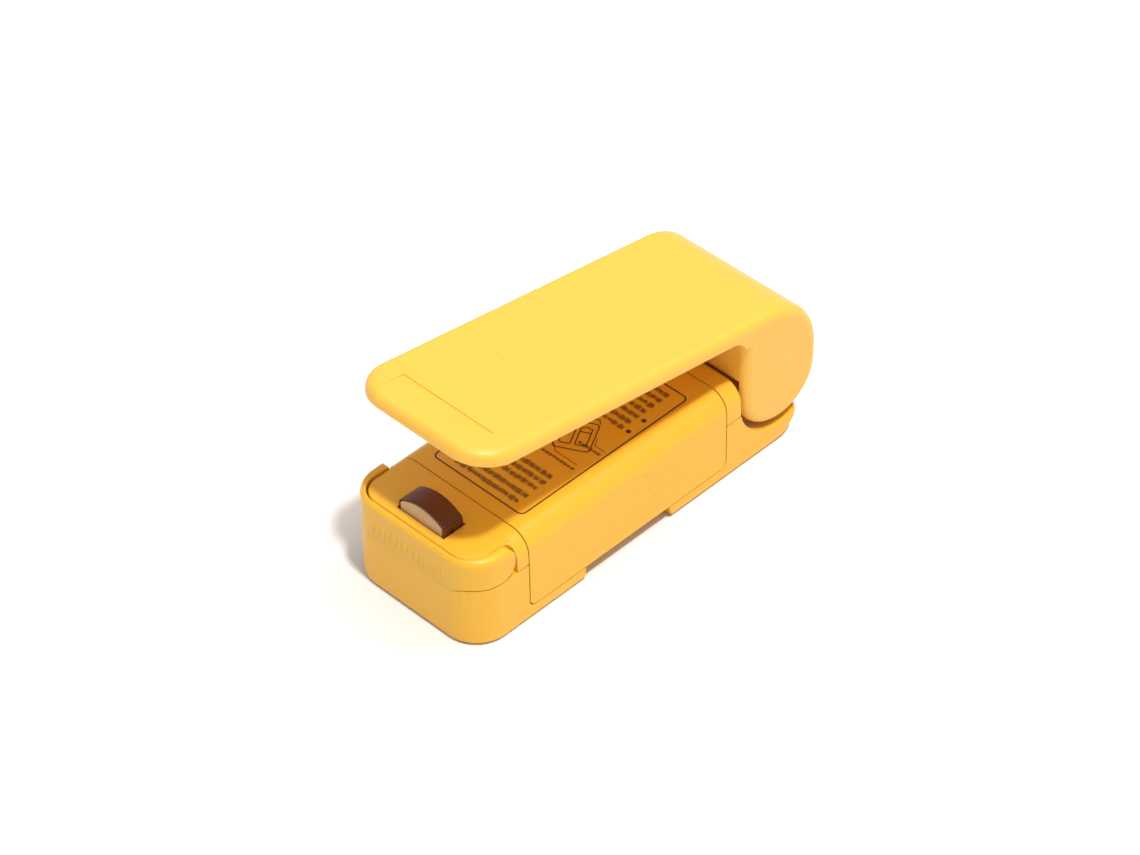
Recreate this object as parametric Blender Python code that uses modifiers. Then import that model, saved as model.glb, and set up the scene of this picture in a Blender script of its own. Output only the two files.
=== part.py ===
"""Handheld bag heat sealer: a battery body, a spring lever and a sprung heater.

X runs to the right seen from the nose, the nose points to -Y, and Z is up. The
origin is at the middle of the underside. Dimensions are in millimetres; the
helpers turn them into metres.
"""

import bpy
import bmesh
from math import acos, atan2, cos, degrees, pi, radians, sin, tan
from mathutils import Matrix, Vector

MM = 0.001

# ---- driving dimensions, in millimetres ------------------------------------
LENGTH = 105.0
WIDTH = 39.0
NOSE_Y = -LENGTH / 2
TAIL_Y = LENGTH / 2
BODY_TOP = 23.2
BODY_TOP_ROUND = 4.7
BODY_CORNER = 8.2
BOTTOM_ROUND = 1.2
SIDE_DRAFT = 0.0009          # share of the width lost per millimetre of height
CREASE_Z = 15.4              # the height at which the sides start to lean in
GAP = 0.3
WALL = 1.8

CASE_EDGE = 15.5             # upper edge of the bottom case at the head
CASE_NOSE_EDGE = 13.7        # the same edge under the front of the guard
CASE_REAR_EDGE = 14.7        # the same edge under the rear band
SKIRT_Z = 3.2                # upper edge of the case's strip below the cover
CASE_TAIL_Y = 46.8
HEEL_START = 42.0            # where the underside turns up towards the tail's tip
FLOOR = 2.0

COVER_FRONT = -36.6
COVER_REAR = 23.4
COVER_LOW = 3.5
NOTCH_FRONT = -20.4
NOTCH_REAR = 5.6

BAND_REAR = 28.1
TONGUE_TOP = 19.9
HEAD_HALF = 16.6             # half width of the head between the guard's arms
HEAD_FRONT = -51.1
RECESS_REAR = -40.05
HEAD_ROUND = 0.7
HEAD_COVE = 1.6              # hollow corner behind the guard's arms

GUARD_THICK = 1.0
GUARD_ARM_INNER = 16.95
GUARD_LOW = 14.15
GUARD_SIDE_LOW = 15.85
GUARD_TOP = 23.4
GUARD_END = -40.8
GUARD_ROUND = 1.5           # rounding of the guard's upper outer edge
GUARD_AXIS = (-42.7, 21.4)   # y, z

HINGE_AXIS = (41.2, 21.5)    # y, z
PIN_RADIUS = 1.5
LEVER_TILT = radians(9.0)
LEVER_TOP_AT_0 = 44.2        # height of the lever's top plane over y = 0
LEVER_THICK = 3.2
LEVER_FRONT = -49.6
LEVER_CORNER = 9.0
LEVER_ROUND = 2.2            # rounding of the lever's outer edges
THROAT_Y = 29.0
WALL_LOW = 23.2              # lower edge of the wall across the throat
CLOSED_ANGLE = radians(12.9)
SPRING_SEAT = (0, 34.9)

HEATER_HALF_X = 6.0
HEATER_FRONT = -48.9
HEATER_REAR = -43.1
CROWN_Z = 27.1
CROWN_RADIUS = 10.0
HEATER_TRAVEL = 1.1
ANVIL_THICK = 2.8
HEATER_SPRING_X = 6.0
HEATER_SPRING_Y = -45.1

CELL_RADIUS = 7.1
CELL_X = 7.45
CELL_Z = 12.1
BAY_FRONT = -34.6
BAY_REAR = 22.2
PLATE = 0.4                  # thickness of the contact plates

SCREW_SEAT = 5.6
SCREW_HEAD_TOP = 2.2
SCREWS = (                   # name, x, y
    ("front_left", -12.2, -44.4),
    ("front_right", 12.2, -44.4),
    ("rear_left", -11.5, 25.9),
    ("rear_right", 11.5, 25.9),
)

# ---- colours: base colour, roughness, metallic -----------------------------
YELLOW = ((0.91, 0.475, 0.03), 0.40, 0.0)
YELLOW_LEVER = ((0.93, 0.51, 0.065), 0.40, 0.0)
HEATER_BEIGE = ((0.72, 0.50, 0.27), 0.60, 0.0)
TAPE_BROWN = ((0.20, 0.045, 0.009), 0.45, 0.0)
SILICONE = ((0.55, 0.52, 0.48), 0.70, 0.0)
NICKEL = ((0.62, 0.60, 0.56), 0.28, 1.0)
STEEL = ((0.45, 0.45, 0.46), 0.32, 1.0)
BRASS = ((0.60, 0.42, 0.16), 0.35, 1.0)
CELL_WRAP = ((0.16, 0.17, 0.19), 0.38, 0.0)
WIRE_RED = ((0.45, 0.03, 0.02), 0.50, 0.0)
WIRE_BLACK = ((0.03, 0.03, 0.03), 0.50, 0.0)

PARTS = "bag_heat_sealer"
CUTTERS = "cutters"
# Columns of each matrix say where an outline's u, v and depth directions point.
PLANES = {
    "X": Matrix(((0, 0, 1), (1, 0, 0), (0, 1, 0))).to_4x4(),
    "Y": Matrix(((1, 0, 0), (0, 0, -1), (0, 1, 0))).to_4x4(),
    "Z": Matrix.Identity(4),
}


# ---- helpers ---------------------------------------------------------------
def start_clean():
    for obj in list(bpy.data.objects):
        bpy.data.objects.remove(obj, do_unlink=True)
    for name in (PARTS, CUTTERS):
        collection = bpy.data.collections.new(name)
        bpy.context.scene.collection.children.link(collection)
        bpy.data.collections[collection.name].name = name


def new_object(name, mesh):
    """An object for a mesh; it starts as a tool and becomes a part in part()."""
    obj = bpy.data.objects.new(name, mesh)
    bpy.data.collections[CUTTERS].objects.link(obj)
    obj.hide_render = True
    obj.display_type = "WIRE"
    return obj


def material(name, look):
    colour, roughness, metallic = look
    made = bpy.data.materials.new(name)
    made.use_nodes = True
    shader = made.node_tree.nodes["Principled BSDF"]
    shader.inputs["Base Color"].default_value = (*colour, 1.0)
    shader.inputs["Roughness"].default_value = roughness
    shader.inputs["Metallic"].default_value = metallic
    return made


def part(obj, look):
    """Move a finished object to the parts, with its own material."""
    bpy.data.collections[CUTTERS].objects.unlink(obj)
    bpy.data.collections[PARTS].objects.link(obj)
    obj.hide_render = False
    obj.display_type = "TEXTURED"
    obj.data.materials.clear()
    obj.data.materials.append(material(obj.name, look))
    obj.data.shade_smooth()
    obj.data.set_sharp_from_angle(angle=radians(35))
    return obj


def rounded(corners, steps=6):
    """The outline through (u, v, radius) corners, each rounded by an arc."""
    points = []
    for index, (u, v, radius) in enumerate(corners):
        here = Vector((u, v))
        if radius == 0:
            points.append(here)
            continue
        before = (Vector(corners[index - 1][:2]) - here).normalized()
        after = (Vector(corners[(index + 1) % len(corners)][:2]) - here).normalized()
        half = before.angle(after) / 2
        centre = here + (before + after).normalized() * radius / sin(half)
        first = here + before * radius / tan(half) - centre
        last = here + after * radius / tan(half) - centre
        start = atan2(first.y, first.x)
        sweep = (atan2(last.y, last.x) - start + pi) % (2 * pi) - pi
        for step in range(steps + 1):
            angle = start + sweep * step / steps
            points.append(centre + Vector((cos(angle), sin(angle))) * radius)
    return points


def arc(centre, radius, start, end, steps):
    """Points on a circle, as corners with no rounding; angles in degrees."""
    made = []
    for step in range(steps + 1):
        angle = radians(start + (end - start) * step / steps)
        made.append((centre[0] + radius * cos(angle), centre[1] + radius * sin(angle), 0))
    return made


def curve_to_mesh(name, curve):
    """The solid that a curve makes, as a mesh object with its caps welded."""
    holder = bpy.data.objects.new(name + "_curve", curve)
    bpy.context.scene.collection.objects.link(holder)
    graph = bpy.context.evaluated_depsgraph_get()
    mesh = bpy.data.meshes.new_from_object(holder.evaluated_get(graph))
    bpy.data.objects.remove(holder, do_unlink=True)
    work = bmesh.new()
    work.from_mesh(mesh)
    bmesh.ops.remove_doubles(work, verts=work.verts, dist=0.00001)
    work.to_mesh(mesh)
    work.free()
    mesh.name = name
    return new_object(name, mesh)


def prism(name, axis, outline, low, high):
    """A flat outline extruded along an axis from low to high."""
    curve = bpy.data.curves.new(name, "CURVE")
    curve.dimensions = "2D"
    curve.fill_mode = "BOTH"
    curve.extrude = abs(high - low) / 2 * MM
    spline = curve.splines.new("POLY")
    spline.points.add(len(outline) - 1)
    for point, (u, v) in zip(spline.points, outline):
        point.co = (u * MM, v * MM, 0, 1)
    spline.use_cyclic_u = True
    obj = curve_to_mesh(name, curve)
    middle = (low + high) / 2 * MM * (-1 if axis == "Y" else 1)
    obj.data.transform(PLANES[axis] @ Matrix.Translation((0, 0, middle)))
    return obj


def block(name, low, high):
    """A box between two corners."""
    work = bmesh.new()
    bmesh.ops.create_cube(work, size=1.0)
    size = [(b - a) * MM for a, b in zip(low, high)]
    centre = [(a + b) / 2 * MM for a, b in zip(low, high)]
    bmesh.ops.scale(work, vec=size, verts=work.verts)
    bmesh.ops.translate(work, vec=centre, verts=work.verts)
    mesh = bpy.data.meshes.new(name)
    work.to_mesh(mesh)
    work.free()
    return new_object(name, mesh)


def rod(name, axis, centre, radius, low, high, sides=20):
    """A cylinder along an axis; centre gives the two other coordinates."""
    work = bmesh.new()
    bmesh.ops.create_cone(work, cap_ends=True, segments=sides, radius1=radius * MM,
                          radius2=radius * MM, depth=(high - low) * MM)
    middle = (low + high) / 2
    place = {
        "X": (middle, *centre),
        "Y": (centre[0], middle, centre[1]),
        "Z": (*centre, middle),
    }[axis]
    turn = {
        "X": Matrix.Rotation(pi / 2, 4, "Y"),
        "Y": Matrix.Rotation(pi / 2, 4, "X"),
        "Z": Matrix.Identity(4),
    }[axis]
    bmesh.ops.transform(work, matrix=turn, verts=work.verts)
    bmesh.ops.translate(work, vec=[value * MM for value in place], verts=work.verts)
    mesh = bpy.data.meshes.new(name)
    work.to_mesh(mesh)
    work.free()
    return new_object(name, mesh)


def turned(name, profile, steps=24):
    """A profile of (radius, height) pairs, top to bottom, turned about Z."""
    work = bmesh.new()
    verts = [work.verts.new((radius * MM, 0, height * MM)) for radius, height in profile]
    for first, second in zip(verts, verts[1:]):
        work.edges.new((first, second))
    mesh = bpy.data.meshes.new(name)
    work.to_mesh(mesh)
    work.free()
    obj = new_object(name, mesh)
    screw = obj.modifiers.new("screw", "SCREW")
    screw.axis = "Z"
    screw.angle = 2 * pi
    screw.steps = steps
    screw.render_steps = steps
    screw.use_merge_vertices = True
    screw.merge_threshold = 0.00001
    return settle(obj)


def tube(name, points, radius):
    """A round wire along the points, with capped ends."""
    curve = bpy.data.curves.new(name, "CURVE")
    curve.dimensions = "3D"
    curve.bevel_depth = radius * MM
    curve.bevel_resolution = 2
    curve.use_fill_caps = True
    spline = curve.splines.new("POLY")
    spline.points.add(len(points) - 1)
    for point, place in zip(spline.points, points):
        point.co = (*[value * MM for value in place], 1)
    return curve_to_mesh(name, curve)


def coil(name, wire, radii, heights, turns, per_turn=12):
    """A compression spring along Z whose end turns lie closed and flat."""
    low, high = heights
    count = int(turns * per_turn)
    closed = 0.8
    pitch = (high - low - 4 * wire) / (turns - 2 * closed)
    points = []
    for step in range(count + 1):
        turn = step / per_turn
        if turn < closed:
            height = low + wire + 1.9 * wire * turn / closed * 0.5
        elif turn > turns - closed:
            height = high - wire - 1.9 * wire * (turns - turn) / closed * 0.5
        else:
            height = low + 1.95 * wire + pitch * (turn - closed) * 1.0
        share = step / count
        radius = radii[0] + (radii[1] - radii[0]) * share
        angle = 2 * pi * turn
        points.append((radius * cos(angle), radius * sin(angle), height))
    return tube(name, points, wire)


def place(obj, rotation=(0, 0, 0), location=(0, 0, 0)):
    """Turn an object's mesh by XYZ degrees, then move it in millimetres."""
    turn = Matrix.Identity(4)
    for angle, axis in zip(rotation, "XYZ"):
        turn = Matrix.Rotation(radians(angle), 4, axis) @ turn
    move = Matrix.Translation([value * MM for value in location])
    obj.data.transform(move @ turn)
    return obj


def boolean(obj, operation, tools):
    for tool in tools:
        modifier = obj.modifiers.new(operation.lower(), "BOOLEAN")
        modifier.operation = operation
        modifier.solver = "EXACT"
        modifier.object = tool
    return obj


def cut(obj, *tools):
    return boolean(obj, "DIFFERENCE", tools)


def join(obj, *tools):
    return boolean(obj, "UNION", tools)


def keep(obj, *tools):
    return boolean(obj, "INTERSECT", tools)


def settle(obj):
    """Replace an object's mesh by what its modifiers make of it."""
    graph = bpy.context.evaluated_depsgraph_get()
    mesh = bpy.data.meshes.new_from_object(obj.evaluated_get(graph))
    obj.modifiers.clear()
    obj.data = mesh
    return obj


def round_edges(obj, chosen, radius, segments=4):
    """Round the edges for which chosen(start, end), in millimetres, is true."""
    work = bmesh.new()
    work.from_mesh(obj.data)
    bmesh.ops.dissolve_limit(work, angle_limit=radians(1), verts=work.verts, edges=work.edges)
    edges = [edge for edge in work.edges
             if chosen(edge.verts[0].co / MM, edge.verts[1].co / MM)]
    bmesh.ops.bevel(work, geom=edges, offset=radius * MM, segments=segments,
                    profile=0.5, affect="EDGES", clamp_overlap=False)
    bmesh.ops.remove_doubles(work, verts=work.verts, dist=0.000005)
    work.to_mesh(obj.data)
    work.free()
    return obj


def lean_in(obj):
    """Give the sides the draft of the moulding: narrower towards the top."""
    for vertex in obj.data.vertices:
        height = vertex.co.z / MM
        vertex.co.x *= 1 - SIDE_DRAFT * height
    return obj


def mirrored(outline):
    """A left-right symmetric outline from its right half, given front to back."""
    left = [(-u, v, radius) for u, v, radius in reversed(outline)]
    return outline + left


# ---- outlines shared by several pieces -------------------------------------
def body_section(name, front, rear, low, inset=0.0, steps=8):
    """A length of the body's cross section, with rounded upper long edges."""
    half = WIDTH / 2 - inset
    top = BODY_TOP - inset
    corner = BODY_TOP_ROUND - inset
    outline = mirrored([(half, low, 0), (half, CREASE_Z, 0), (half - 0.25, top, corner)])
    return lean_in(prism(name, "Y", rounded(outline, steps), front, rear))


def lever_top(y):
    return LEVER_TOP_AT_0 - tan(LEVER_TILT) * y


def lever_outline(inset, underside, steps=12):
    """Side view of the lever; underside is the plate's depth below its top."""
    slope = tan(LEVER_TILT)
    drop = LEVER_TOP_AT_0 - inset / cos(LEVER_TILT)
    low = LEVER_TOP_AT_0 - underside / cos(LEVER_TILT)
    front = LEVER_FRONT - 2
    throat = THROAT_Y + inset
    heel_z = 6.3 + inset
    return rounded([
        (front, low - slope * front, 0),
        (throat, low - slope * throat, 5.5 + inset),
        (throat, heel_z, 12.2 - inset),
        (TAIL_Y - inset, heel_z, 11.0 - inset),
        (TAIL_Y - inset, drop - slope * (TAIL_Y - inset), 17.0 - inset),
        (front, drop - slope * front, 0),
    ], steps)


# ---- the body --------------------------------------------------------------
def bottom_case():
    half = WIDTH / 2
    plan = mirrored([(half, CASE_TAIL_Y, 1.6), (half, NOSE_Y, BODY_CORNER)])
    case = prism("bottom_case", "Z", rounded(plan, 12), 0, CASE_EDGE + 1)
    round_edges(case, lambda a, b: a.z < 0.01 and b.z < 0.01, BOTTOM_ROUND, 3)
    lean_in(case)

    cradle = arc((HINGE_AXIS[0], 18.5), 13.6, -65.7, -158.0, 12)
    side = [(NOSE_Y - 1, -1, 0), (CASE_TAIL_Y, -1, 0)] + cradle + [
        (28.3, CASE_REAR_EDGE, 0.4), (COVER_REAR + GAP, CASE_REAR_EDGE, 0.6),
        (COVER_REAR + GAP, SKIRT_Z, 2.0), (COVER_FRONT - GAP, SKIRT_Z, 2.0),
        (COVER_FRONT - GAP, CASE_EDGE, 0.4), (NOSE_Y, CASE_EDGE, 1.8),
        (NOSE_Y, CASE_NOSE_EDGE, 0), (NOSE_Y - 1, CASE_NOSE_EDGE, 0),
    ]
    profile = prism("case_side", "X", rounded(side, 5), -half - 1, half + 1)
    heel = rounded([(36.0, -1, 0), (50, -1, 0), (50, 5.6, 0), (CASE_TAIL_Y, 5.6, 0),
                    (HEEL_START, 0, 9.0), (36.0, 0, 0)], 7)
    heel_cut = prism("case_heel_cut", "X", heel, -half - 1, half + 1)

    hollow = half - WALL
    plan_in = mirrored([(hollow, 37.0, 1.5), (hollow, NOSE_Y + WALL, BODY_CORNER - WALL)])
    room = prism("case_room", "Z", rounded(plan_in, 6), FLOOR, 20)
    vault = arc((HINGE_AXIS[0], 18.5), 15.5, -108.0, -155.0, 6)
    roof = [(-60, FLOOR - 1, 0), (36.41, FLOOR - 1, 0)] + vault + [(27.15, 25, 0), (-60, 25, 0)]
    keep(room, prism("case_room_side", "X", rounded(roof), -half, half))

    notch = rounded([(NOTCH_FRONT, -1, 0), (NOTCH_REAR + 1.4, -1, 0),
                     (NOTCH_REAR - 0.6, 5, 0), (NOTCH_FRONT + 0.5, 5, 0)])
    tools = [prism("case_notch_" + side_name, "X", notch, low, high)
             for side_name, low, high in (("left", -25, -16.9), ("right", 16.9, 25))]
    keep(case, profile)
    cut(case, heel_cut, room, *tools)
    posts = [rod("spring_post_" + side_name, "Z", (x, HEATER_SPRING_Y), 2.3, FLOOR - 0.5, 9.1, 16)
             for side_name, x in (("left", -HEATER_SPRING_X), ("right", HEATER_SPRING_X))]
    join(case, *posts, block("contact_post", (-2.2, -47.8, FLOOR - 0.5), (2.8, -44.2, 6.9)))
    for name, x, y in SCREWS:
        join(case, rod("case_boss_" + name, "Z", (x, y), 2.4, FLOOR - 0.5, SCREW_SEAT, 16))
        cut(case, rod("case_bore_" + name, "Z", (x, y), 1.4, -1, SCREW_SEAT + 1, 16),
            rod("case_counterbore_" + name, "Z", (x, y), 2.3, -1, SCREW_HEAD_TOP + GAP, 16))
    return part(case, YELLOW)


def case_screws():
    for name, x, y in SCREWS:
        profile = [(0, 12.6), (0.9, 12.2), (1.1, 11.6), (1.1, SCREW_HEAD_TOP),
                   (2.0, SCREW_HEAD_TOP), (2.0, 0.8), (1.6, 0.5), (0, 0.5)]
        screw = place(turned("case_screw_" + name, profile, 16), (0, 0, 0), (x, y, 0))
        slots = [block("slot_%s_%d" % (name, turn), *bounds) for turn, bounds in enumerate((
            ((x - 1.2, y - 0.25, 0), (x + 1.2, y + 0.25, 1.2)),
            ((x - 0.25, y - 1.2, 0), (x + 0.25, y + 1.2, 1.2))))]
        part(cut(screw, *slots), STEEL)


def upper_chassis():
    """Head, battery tray, rear band and hinge lugs in one moulding."""
    cove = arc((HEAD_HALF + HEAD_COVE, RECESS_REAR - HEAD_COVE), HEAD_COVE, 96, 176, 6)
    plan = mirrored([(19.6, COVER_FRONT - GAP, 0), (19.6, RECESS_REAR, 0)] + cove
                    + [(15.0, RECESS_REAR - HEAD_COVE, 0)])
    chassis = prism("upper_chassis", "Z", rounded(plan), CASE_EDGE + GAP, BODY_TOP + 2)
    keep(chassis, body_section("head_section", -60, -30, 5))
    plateau = mirrored([(HEAD_HALF, RECESS_REAR + 0.4, 0), (HEAD_HALF, HEAD_FRONT, 5.0)])
    top = BODY_TOP - 0.02
    head = prism("head_plateau", "Z", rounded(plateau, 10), CASE_EDGE + GAP + 0.02, top)
    round_edges(head, lambda a, b: min(a.z, b.z) > top - 0.01 and min(a.y, b.y) < RECESS_REAR,
                HEAD_ROUND, 3)
    join(chassis, head)
    lip_plan = mirrored([(HEAD_HALF - 0.1, RECESS_REAR - 0.7, 0),
                         (HEAD_HALF - 0.1, NOSE_Y + WALL + GAP, BODY_CORNER - WALL - GAP)])
    join(chassis, prism("head_lip", "Z", rounded(lip_plan, 6), 14.0, CASE_EDGE + 1))

    rail = body_section("band", COVER_REAR + GAP, BAND_REAR, CASE_REAR_EDGE + GAP)
    tray = block("tray", (-16.8, -38.8, 2.9), (16.8, 26.6, 13.0))
    bulkhead = block("bulkhead", (-15.6, -37.6, 4.0), (15.6, BAY_FRONT, 20.7))
    stern = block("stern", (-15.6, BAY_REAR, 4.0), (15.6, 26.0, 20.7))
    tongue = block("tongue", (-16.4, 25.7, 15.0), (16.4, 36.4, TONGUE_TOP))
    cup = rod("spring_cup", "Z", SPRING_SEAT, 5.0, 13.8, TONGUE_TOP - 0.1, 24)
    join(chassis, rail, tray, bulkhead, stern, tongue)

    y, z = HINGE_AXIS
    lug = [(31.4, 16.0, 0), (31.4, TONGUE_TOP - 0.6, 0), (36.6, z + 3.6, 0)]
    lug += arc((y, z), 4.2, 120, -60, 8) + [(37.0, 16.0, 0)]
    lugs = [prism("lug_" + name, "X", rounded(lug), low, high)
            for name, low, high in (("left", -15.2, -10.2), ("right", 10.2, 15.2))]
    join(chassis, *lugs)

    head_in = mirrored([(14.8, -38.8, 1.0), (14.8, HEAD_FRONT + WALL, 4.0)])
    head_room = prism("head_room", "Z", rounded(head_in, 4), 2, 21.2)
    bay = block("bay", (-15.1, BAY_FRONT, 4.4), (15.1, BAY_REAR, 30))
    window = block("heater_window", (-6.95, -49.2, 19), (6.95, -42.8, 26))
    tongue_room = block("tongue_room", (-14.4, 28.0, 13), (14.4, 34.6, 18.8))
    cut(chassis, head_room, bay, window, tongue_room)
    join(chassis, cup)
    cut(chassis, rod("cup_bore", "Z", SPRING_SEAT, 3.9, 15.2, 30, 24),
        rod("pin_bore", "X", HINGE_AXIS, PIN_RADIUS + 0.25, -30, 30, 20))
    for name, x, y in SCREWS[:2]:
        join(chassis, rod("head_boss_" + name, "Z", (x, y), 2.3, SCREW_SEAT + GAP, 21.6, 16))
    for name, x, y in SCREWS[2:]:
        cut(chassis, rod("stern_seat_" + name, "Z", (x, y), 2.8, 0, SCREW_SEAT + GAP, 16))
    for name, x, y in SCREWS:
        cut(chassis, rod("head_bore_" + name, "Z", (x, y), 1.4, 2, 14.0, 16))
    for name, low, high in (("left", -18.2, -16.0), ("right", 16.0, 18.2)):
        join(chassis, rod("guard_boss_" + name, "X", GUARD_AXIS, 0.9, low, high, 16))
    for name, low, high in (("left", -12.0, -9.0), ("right", 9.0, 12.0)):
        cut(chassis, block("lead_slot_" + name, (low, -40, 8.0), (high, -33, 11.0)))
    return part(chassis, YELLOW)


def battery_cover():
    cover = body_section("battery_cover", COVER_FRONT, COVER_REAR, COVER_LOW)
    inside = body_section("cover_inside", COVER_FRONT - 5, COVER_REAR + 5, COVER_LOW - 5, 1.7)
    side = [(COVER_FRONT - 0.01, COVER_LOW - 0.01, 1.8), (COVER_REAR + 0.01, COVER_LOW - 0.01, 1.8),
            (COVER_REAR + 0.01, 30, 0), (COVER_FRONT - 0.01, 30, 0)]
    keep(cut(cover, inside), prism("cover_side", "X", rounded(side, 5), -25, 25))
    for index, y in enumerate((-23.2, 8.6)):
        join(cover, *[block("cover_rib_%s_%d" % (name, index), (low, y - 0.6, 9), (high, y + 0.6, 19.5))
                      for name, low, high in (("left", -18.2, -17.1), ("right", 17.1, 18.2))])
    return part(cover, YELLOW)


def safety_guard():
    outer = mirrored([(19.3, GUARD_END + 2, 0), (19.3, NOSE_Y, 8.0)])
    guard = prism("safety_guard", "Z", rounded(outer, 12), GUARD_LOW, GUARD_TOP)
    top = GUARD_TOP - 0.01
    round_edges(guard, lambda a, b: a.z > top and b.z > top and min(a.y, b.y) < GUARD_END + 1.9,
                GUARD_ROUND, 5)
    side = [(NOSE_Y - 1, GUARD_TOP + 1, 0), (NOSE_Y - 1, GUARD_LOW, 0), (NOSE_Y, GUARD_LOW, 0),
            (NOSE_Y, GUARD_SIDE_LOW, 1.8), (GUARD_END, GUARD_SIDE_LOW, 3.6),
            (GUARD_END, GUARD_TOP, 2.6), (GUARD_END - 4, GUARD_TOP, 0), (GUARD_END - 4, GUARD_TOP + 1, 0)]
    reach = HEAD_COVE
    heel = arc((GUARD_ARM_INNER + reach, GUARD_END - reach), reach, 90, 180, 5)
    inner = mirrored([(GUARD_ARM_INNER + reach, GUARD_END + 9, 0)] + heel
                     + [(GUARD_ARM_INNER, NOSE_Y + GUARD_THICK, 5.3)])
    keep(guard, prism("guard_side", "X", rounded(side, 6), -25, 25))
    cut(guard, prism("guard_inside", "Z", rounded(inner, 10), 5, 30))
    settle(guard)
    round_edges(guard, lambda a, b: min(a.z, b.z) > top - 0.02 and max(abs(a.x), abs(b.x)) < 17.0
                and min(abs(a.x), abs(b.x)) > 16.9 and abs(a.x - b.x) < 1, 0.6, 3)
    for name, low, high in (("left", -18.45, -15), ("right", 15, 18.45)):
        cut(guard, rod("guard_bore_" + name, "X", GUARD_AXIS, 1.2, low, high, 16))
    return part(guard, YELLOW)


# ---- the heater ------------------------------------------------------------
def crown(lift, half, steps=10):
    """Points over the heater's crown, lifted from it, from +half to -half."""
    radius = CROWN_RADIUS + lift
    edge = degrees(acos(half / radius))
    return arc((0, CROWN_Z - CROWN_RADIUS), radius, edge, 180 - edge, steps)


def heater():
    middle = (HEATER_FRONT + HEATER_REAR) / 2
    low = 17.5
    over = [(HEATER_HALF_X, low, 0)] + crown(0, HEATER_HALF_X) + [(-HEATER_HALF_X, low, 0)]
    head = prism("heater_block", "Y", rounded(over), HEATER_FRONT, HEATER_REAR)
    reach = HEATER_HALF_X - 1.2
    channel = crown(-0.6, reach) + [(-reach, 40, 0), (reach, 40, 0)]
    groove = prism("ribbon_groove", "Y", rounded(channel), middle - 1.2, middle + 1.2)
    flange = block("heater_flange", (-8.6, -49.0, 17.2), (8.6, -41.4, 18.8))
    stubs = [rod("spring_stub_" + name, "Z", (x, HEATER_SPRING_Y), 1.1, 15.6, 17.6, 14)
             for name, x in (("left", -HEATER_SPRING_X), ("right", HEATER_SPRING_X))]
    part(join(cut(head, groove), flange, *stubs), HEATER_BEIGE)

    bow = crown(-0.1, reach - 0.4) + list(reversed(crown(-0.3, reach - 0.4)))
    part(prism("heater_ribbon", "Y", rounded(bow), middle - 0.9, middle + 0.9), NICKEL)

    outside = [(HEATER_HALF_X + 0.5, 20.4, 0)] + crown(0.45, HEATER_HALF_X + 0.5)
    outside += [(-HEATER_HALF_X - 0.5, 20.4, 0)]
    inside = [(-HEATER_HALF_X - 0.25, 20.4, 0)] + list(reversed(crown(0.2, HEATER_HALF_X + 0.25)))
    inside += [(HEATER_HALF_X + 0.25, 20.4, 0)]
    part(prism("heater_tape", "Y", rounded(outside + inside),
               HEATER_FRONT + 0.1, HEATER_REAR - 0.1), TAPE_BROWN)

    for name, x in (("left", -HEATER_SPRING_X), ("right", HEATER_SPRING_X)):
        spring = coil("heater_spring_" + name, 0.25, (1.75, 1.75), (9.4, 16.9), 5.6, 10)
        part(place(spring, (0, 0, 0), (x, HEATER_SPRING_Y, 0)), STEEL)
    return middle


def switch_and_leads(middle):
    """A blade under the plunger closes on a fixed contact when it is pressed."""
    blade = [(-2.6, 16.9, 0), (-2.6, 16.2, 0), (0.6, 14.8, 0), (2.0, 14.8, 0),
             (2.0, 15.1, 0), (0.7, 15.1, 0), (-2.3, 16.5, 0), (-2.3, 16.9, 0)]
    part(prism("switch_blade", "Y", rounded(blade), middle - 1.5, middle + 1.5), BRASS)
    fixed = [(-1.8, 7.2, 0), (2.4, 7.2, 0), (2.4, 13.6, 0), (1.0, 13.6, 0), (1.0, 13.2, 0),
             (2.0, 13.2, 0), (2.0, 7.6, 0), (-1.8, 7.6, 0)]
    part(prism("switch_contact", "Y", rounded(fixed), middle - 1.5, middle + 1.5), BRASS)
    for name, side, colour, start in (
            ("left", -1, WIRE_RED, (-2.4, -42.6, 14.6)),
            ("right", 1, WIRE_BLACK, (2.9, -43.6, 8.4))):
        ends = [start, (side * 3.6, -41.6, 11.6 if side < 0 else 8.4), (side * 8.0, -40.8, 9.0),
                (side * 10.5, -38.6, 9.4), (side * 10.5, -36.2, 9.5)]
        part(tube("lead_wire_" + name, smooth_route(ends), 0.55), colour)


def smooth_route(ends, per_span=4):
    """A Catmull-Rom curve through the given points."""
    knots = [Vector(point) for point in [ends[0]] + list(ends) + [ends[-1]]]
    points = []
    for index in range(1, len(knots) - 2):
        before, first, second, after = knots[index - 1:index + 3]
        for step in range(per_span):
            t = step / per_span
            points.append(0.5 * (2 * first + (second - before) * t
                                 + (2 * before - 5 * first + 4 * second - after) * t ** 2
                                 + (3 * first - before - 3 * second + after) * t ** 3))
    return points + [knots[-1]]


# ---- the battery bay -------------------------------------------------------
def cell(name, side, plus_front):
    profile = [(0, 25.25), (2.4, 25.25), (2.7, 25.0), (2.7, 24.2), (6.3, 24.2), (CELL_RADIUS, 23.6),
               (CELL_RADIUS, -24.6), (6.5, -25.25), (0, -25.25)]
    turn = 90 if plus_front else -90
    body = place(turned(name, profile, 24), (turn, 0, 0), (side * CELL_X, cell_middle(plus_front), CELL_Z))
    return part(body, CELL_WRAP)


def cell_middle(plus_front):
    """The plus end lies on its plate; the minus end leans on its spring."""
    reach = 25.25 + PLATE + 2 * GAP
    return BAY_FRONT + reach if plus_front else BAY_REAR - reach


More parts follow.
